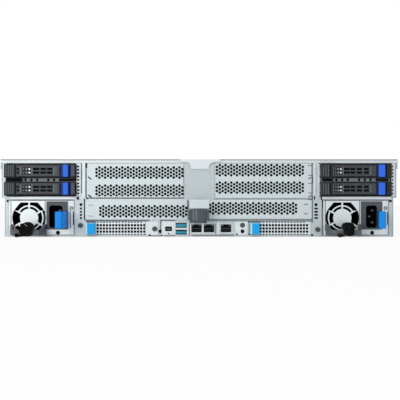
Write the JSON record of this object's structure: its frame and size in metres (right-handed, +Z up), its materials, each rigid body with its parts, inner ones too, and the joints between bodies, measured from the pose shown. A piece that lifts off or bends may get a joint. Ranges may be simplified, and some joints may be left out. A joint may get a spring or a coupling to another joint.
{
  "type": "rack server",
  "caption": "Two-unit rack server with slide-out power supplies, rear drive trays and front drive carriers, vented slot covers, fans and a lift-off cover",
  "frame": {"origin": "middle of the underside of the chassis", "axes": "+Y runs from the rear panel to the drive fronts, +X is right seen from the rear, +Z is up"},
  "size_m": [0.4826, 0.8466, 0.0875],
  "materials": {
    "zinc_steel": "zinc-plated sheet steel",
    "painted_steel": "powder-coated sheet steel",
    "dark_plastic": "moulded dark grey plastic",
    "blue_plastic": "moulded blue plastic",
    "black_plastic": "moulded black plastic",
    "board": "glass-fibre circuit board",
    "alloy": "extruded aluminium",
    "tape": "woven hook-and-loop tape"
  },
  "bodies": {
    "chassis": {"base_pan": "zinc_steel", "rear_panel": "zinc_steel", "rear_drive_cages": "zinc_steel", "vented_slot_covers": "zinc_steel", "main_board": "board", "heat_sinks": "alloy", "memory_modules": "board", "riser_cages": "zinc_steel", "network_jacks": "zinc_steel", "data_ports": "zinc_steel", "centre_strap": "zinc_steel", "fan_wall": "black_plastic", "front_drive_cage": "zinc_steel", "rack_ears": "painted_steel", "screws_and_studs": "zinc_steel"},
    "cover": {"top_cover": "zinc_steel"},
    "cover_latch": {"cover_latch": "dark_plastic"},
    "knob": {"captive_screw_knob": "dark_plastic"},
    "rear_button": {"rear_button": "dark_plastic"},
    "power_button": {"power_button": "dark_plastic"},
    "rear_tray_left_lower": {"rear_tray_left_lower": "dark_plastic"},
    "tray_lever_left_lower": {"tray_lever_left_lower": "zinc_steel"},
    "tray_release_left_lower": {"tray_release_left_lower": "blue_plastic"},
    "rear_tray_left_upper": {"rear_tray_left_upper": "dark_plastic"},
    "tray_lever_left_upper": {"tray_lever_left_upper": "zinc_steel"},
    "tray_release_left_upper": {"tray_release_left_upper": "blue_plastic"},
    "rear_tray_right_lower": {"rear_tray_right_lower": "dark_plastic"},
    "tray_lever_right_lower": {"tray_lever_right_lower": "zinc_steel"},
    "tray_release_right_lower": {"tray_release_right_lower": "blue_plastic"},
    "rear_tray_right_upper": {"rear_tray_right_upper": "dark_plastic"},
    "tray_lever_right_upper": {"tray_lever_right_upper": "zinc_steel"},
    "tray_release_right_upper": {"tray_release_right_upper": "blue_plastic"},
    "supply_left": {"supply_case_left": "zinc_steel", "supply_handle_left": "dark_plastic", "cord_strap_left": "tape"},
    "supply_fan_left": {"supply_fan_left": "black_plastic"},
    "supply_latch_left": {"supply_latch_left": "blue_plastic"},
    "supply_right": {"supply_case_right": "zinc_steel", "supply_handle_right": "dark_plastic", "cord_strap_right": "tape"},
    "supply_fan_right": {"supply_fan_right": "black_plastic"},
    "supply_latch_right": {"supply_latch_right": "blue_plastic"},
    "network_module_left": {"network_module_left": "zinc_steel"},
    "network_module_right": {"network_module_right": "zinc_steel"},
    "fan_rotor_1": {"fan_rotor_1": "black_plastic"},
    "fan_rotor_2": {"fan_rotor_2": "black_plastic"},
    "fan_rotor_3": {"fan_rotor_3": "black_plastic"},
    "fan_rotor_4": {"fan_rotor_4": "black_plastic"},
    "front_carrier_11": {"front_carrier_11": "dark_plastic"},
    "front_carrier_12": {"front_carrier_12": "dark_plastic"},
    "front_carrier_13": {"front_carrier_13": "dark_plastic"},
    "front_carrier_14": {"front_carrier_14": "dark_plastic"},
    "front_carrier_21": {"front_carrier_21": "dark_plastic"},
    "front_carrier_22": {"front_carrier_22": "dark_plastic"},
    "front_carrier_23": {"front_carrier_23": "dark_plastic"},
    "front_carrier_24": {"front_carrier_24": "dark_plastic"},
    "front_carrier_31": {"front_carrier_31": "dark_plastic"},
    "front_carrier_32": {"front_carrier_32": "dark_plastic"},
    "front_carrier_33": {"front_carrier_33": "dark_plastic"},
    "front_carrier_34": {"front_carrier_34": "dark_plastic"}
  },
  "joints": [
    {"name": "cover_lift", "type": "slide", "parent": "chassis", "child": "cover", "axis": [0, 0, 1], "range_m": [0, 0.12]},
    {"name": "cover_latch_hinge", "type": "hinge", "parent": "cover", "child": "cover_latch", "pos_m": [-0.043, -0.04, 0.0847], "axis": [0, -1, 0], "range_deg": [0, 70]},
    {"name": "knob_turn", "type": "hinge", "parent": "chassis", "child": "knob", "pos_m": [-0.00075, -0.4207, 0.0231], "axis": [0, 0, 1], "continuous": true},
    {"name": "rear_button_press", "type": "slide", "parent": "chassis", "child": "rear_button", "axis": [0, 1, 0], "range_m": [0, 0.0008], "stiffness_N_per_m": 300},
    {"name": "power_button_press", "type": "slide", "parent": "chassis", "child": "power_button", "axis": [0, -1, 0], "range_m": [0, 0.0008], "stiffness_N_per_m": 300},
    {"name": "rear_tray_slide_left_lower", "type": "slide", "parent": "chassis", "child": "rear_tray_left_lower", "axis": [0, -1, 0], "range_m": [0, 0.105]},
    {"name": "tray_lever_hinge_left_lower", "type": "hinge", "parent": "rear_tray_left_lower", "child": "tray_lever_left_lower", "pos_m": [-0.20345, -0.41265, 0.0541], "axis": [0, 0, -1], "range_deg": [0, 55]},
    {"name": "tray_release_press_left_lower", "type": "slide", "parent": "rear_tray_left_lower", "child": "tray_release_left_lower", "axis": [0, 1, 0], "range_m": [0, 0.0014], "stiffness_N_per_m": 300},
    {"name": "rear_tray_slide_left_upper", "type": "slide", "parent": "chassis", "child": "rear_tray_left_upper", "axis": [0, -1, 0], "range_m": [0, 0.105]},
    {"name": "tray_lever_hinge_left_upper", "type": "hinge", "parent": "rear_tray_left_upper", "child": "tray_lever_left_upper", "pos_m": [-0.20345, -0.41265, 0.0741], "axis": [0, 0, -1], "range_deg": [0, 55]},
    {"name": "tray_release_press_left_upper", "type": "slide", "parent": "rear_tray_left_upper", "child": "tray_release_left_upper", "axis": [0, 1, 0], "range_m": [0, 0.0014], "stiffness_N_per_m": 300},
    {"name": "rear_tray_slide_right_lower", "type": "slide", "parent": "chassis", "child": "rear_tray_right_lower", "axis": [0, -1, 0], "range_m": [0, 0.105]},
    {"name": "tray_lever_hinge_right_lower", "type": "hinge", "parent": "rear_tray_right_lower", "child": "tray_lever_right_lower", "pos_m": [0.15135, -0.41265, 0.0541], "axis": [0, 0, -1], "range_deg": [0, 55]},
    {"name": "tray_release_press_right_lower", "type": "slide", "parent": "rear_tray_right_lower", "child": "tray_release_right_lower", "axis": [0, 1, 0], "range_m": [0, 0.0014], "stiffness_N_per_m": 300},
    {"name": "rear_tray_slide_right_upper", "type": "slide", "parent": "chassis", "child": "rear_tray_right_upper", "axis": [0, -1, 0], "range_m": [0, 0.105]},
    {"name": "tray_lever_hinge_right_upper", "type": "hinge", "parent": "rear_tray_right_upper", "child": "tray_lever_right_upper", "pos_m": [0.15135, -0.41265, 0.0741], "axis": [0, 0, -1], "range_deg": [0, 55]},
    {"name": "tray_release_press_right_upper", "type": "slide", "parent": "rear_tray_right_upper", "child": "tray_release_right_upper", "axis": [0, 1, 0], "range_m": [0, 0.0014], "stiffness_N_per_m": 300},
    {"name": "supply_slide_left", "type": "slide", "parent": "chassis", "child": "supply_left", "axis": [0, -1, 0], "range_m": [0, 0.19]},
    {"name": "supply_fan_spin_left", "type": "hinge", "parent": "supply_left", "child": "supply_fan_left", "pos_m": [-0.1915, -0.3875, 0.021], "axis": [0, 1, 0], "continuous": true},
    {"name": "supply_latch_squeeze_left", "type": "hinge", "parent": "supply_left", "child": "supply_latch_left", "pos_m": [-0.15, -0.4041, 0.0194], "axis": [0, 0, -1], "range_deg": [0, 7], "stiffness_Nm_per_rad": 0.4},
    {"name": "supply_slide_right", "type": "slide", "parent": "chassis", "child": "supply_right", "axis": [0, -1, 0], "range_m": [0, 0.19]},
    {"name": "supply_fan_spin_right", "type": "hinge", "parent": "supply_right", "child": "supply_fan_right", "pos_m": [0.1626, -0.3875, 0.021], "axis": [0, 1, 0], "continuous": true},
    {"name": "supply_latch_squeeze_right", "type": "hinge", "parent": "supply_right", "child": "supply_latch_right", "pos_m": [0.2041, -0.4041, 0.0194], "axis": [0, 0, -1], "range_deg": [0, 7], "stiffness_Nm_per_rad": 0.4},
    {"name": "network_module_slide_left", "type": "slide", "parent": "chassis", "child": "network_module_left", "axis": [0, -1, 0], "range_m": [0, 0.12]},
    {"name": "network_module_slide_right", "type": "slide", "parent": "chassis", "child": "network_module_right", "axis": [0, -1, 0], "range_m": [0, 0.12]},
    {"name": "fan_spin_1", "type": "hinge", "parent": "chassis", "child": "fan_rotor_1", "pos_m": [-0.162, 0.149, 0.0413], "axis": [0, 1, 0], "continuous": true},
    {"name": "fan_spin_2", "type": "hinge", "parent": "chassis", "child": "fan_rotor_2", "pos_m": [-0.054, 0.149, 0.0413], "axis": [0, 1, 0], "continuous": true},
    {"name": "fan_spin_3", "type": "hinge", "parent": "chassis", "child": "fan_rotor_3", "pos_m": [0.054, 0.149, 0.0413], "axis": [0, 1, 0], "continuous": true},
    {"name": "fan_spin_4", "type": "hinge", "parent": "chassis", "child": "fan_rotor_4", "pos_m": [0.162, 0.149, 0.0413], "axis": [0, 1, 0], "continuous": true},
    {"name": "front_carrier_slide_11", "type": "slide", "parent": "chassis", "child": "front_carrier_11", "axis": [0, 1, 0], "range_m": [0, 0.18]},
    {"name": "front_carrier_slide_12", "type": "slide", "parent": "chassis", "child": "front_carrier_12", "axis": [0, 1, 0], "range_m": [0, 0.18]},
    {"name": "front_carrier_slide_13", "type": "slide", "parent": "chassis", "child": "front_carrier_13", "axis": [0, 1, 0], "range_m": [0, 0.18]},
    {"name": "front_carrier_slide_14", "type": "slide", "parent": "chassis", "child": "front_carrier_14", "axis": [0, 1, 0], "range_m": [0, 0.18]},
    {"name": "front_carrier_slide_21", "type": "slide", "parent": "chassis", "child": "front_carrier_21", "axis": [0, 1, 0], "range_m": [0, 0.18]},
    {"name": "front_carrier_slide_22", "type": "slide", "parent": "chassis", "child": "front_carrier_22", "axis": [0, 1, 0], "range_m": [0, 0.18]},
    {"name": "front_carrier_slide_23", "type": "slide", "parent": "chassis", "child": "front_carrier_23", "axis": [0, 1, 0], "range_m": [0, 0.18]},
    {"name": "front_carrier_slide_24", "type": "slide", "parent": "chassis", "child": "front_carrier_24", "axis": [0, 1, 0], "range_m": [0, 0.18]},
    {"name": "front_carrier_slide_31", "type": "slide", "parent": "chassis", "child": "front_carrier_31", "axis": [0, 1, 0], "range_m": [0, 0.18]},
    {"name": "front_carrier_slide_32", "type": "slide", "parent": "chassis", "child": "front_carrier_32", "axis": [0, 1, 0], "range_m": [0, 0.18]},
    {"name": "front_carrier_slide_33", "type": "slide", "parent": "chassis", "child": "front_carrier_33", "axis": [0, 1, 0], "range_m": [0, 0.18]},
    {"name": "front_carrier_slide_34", "type": "slide", "parent": "chassis", "child": "front_carrier_34", "axis": [0, 1, 0], "range_m": [0, 0.18]}
  ]
}
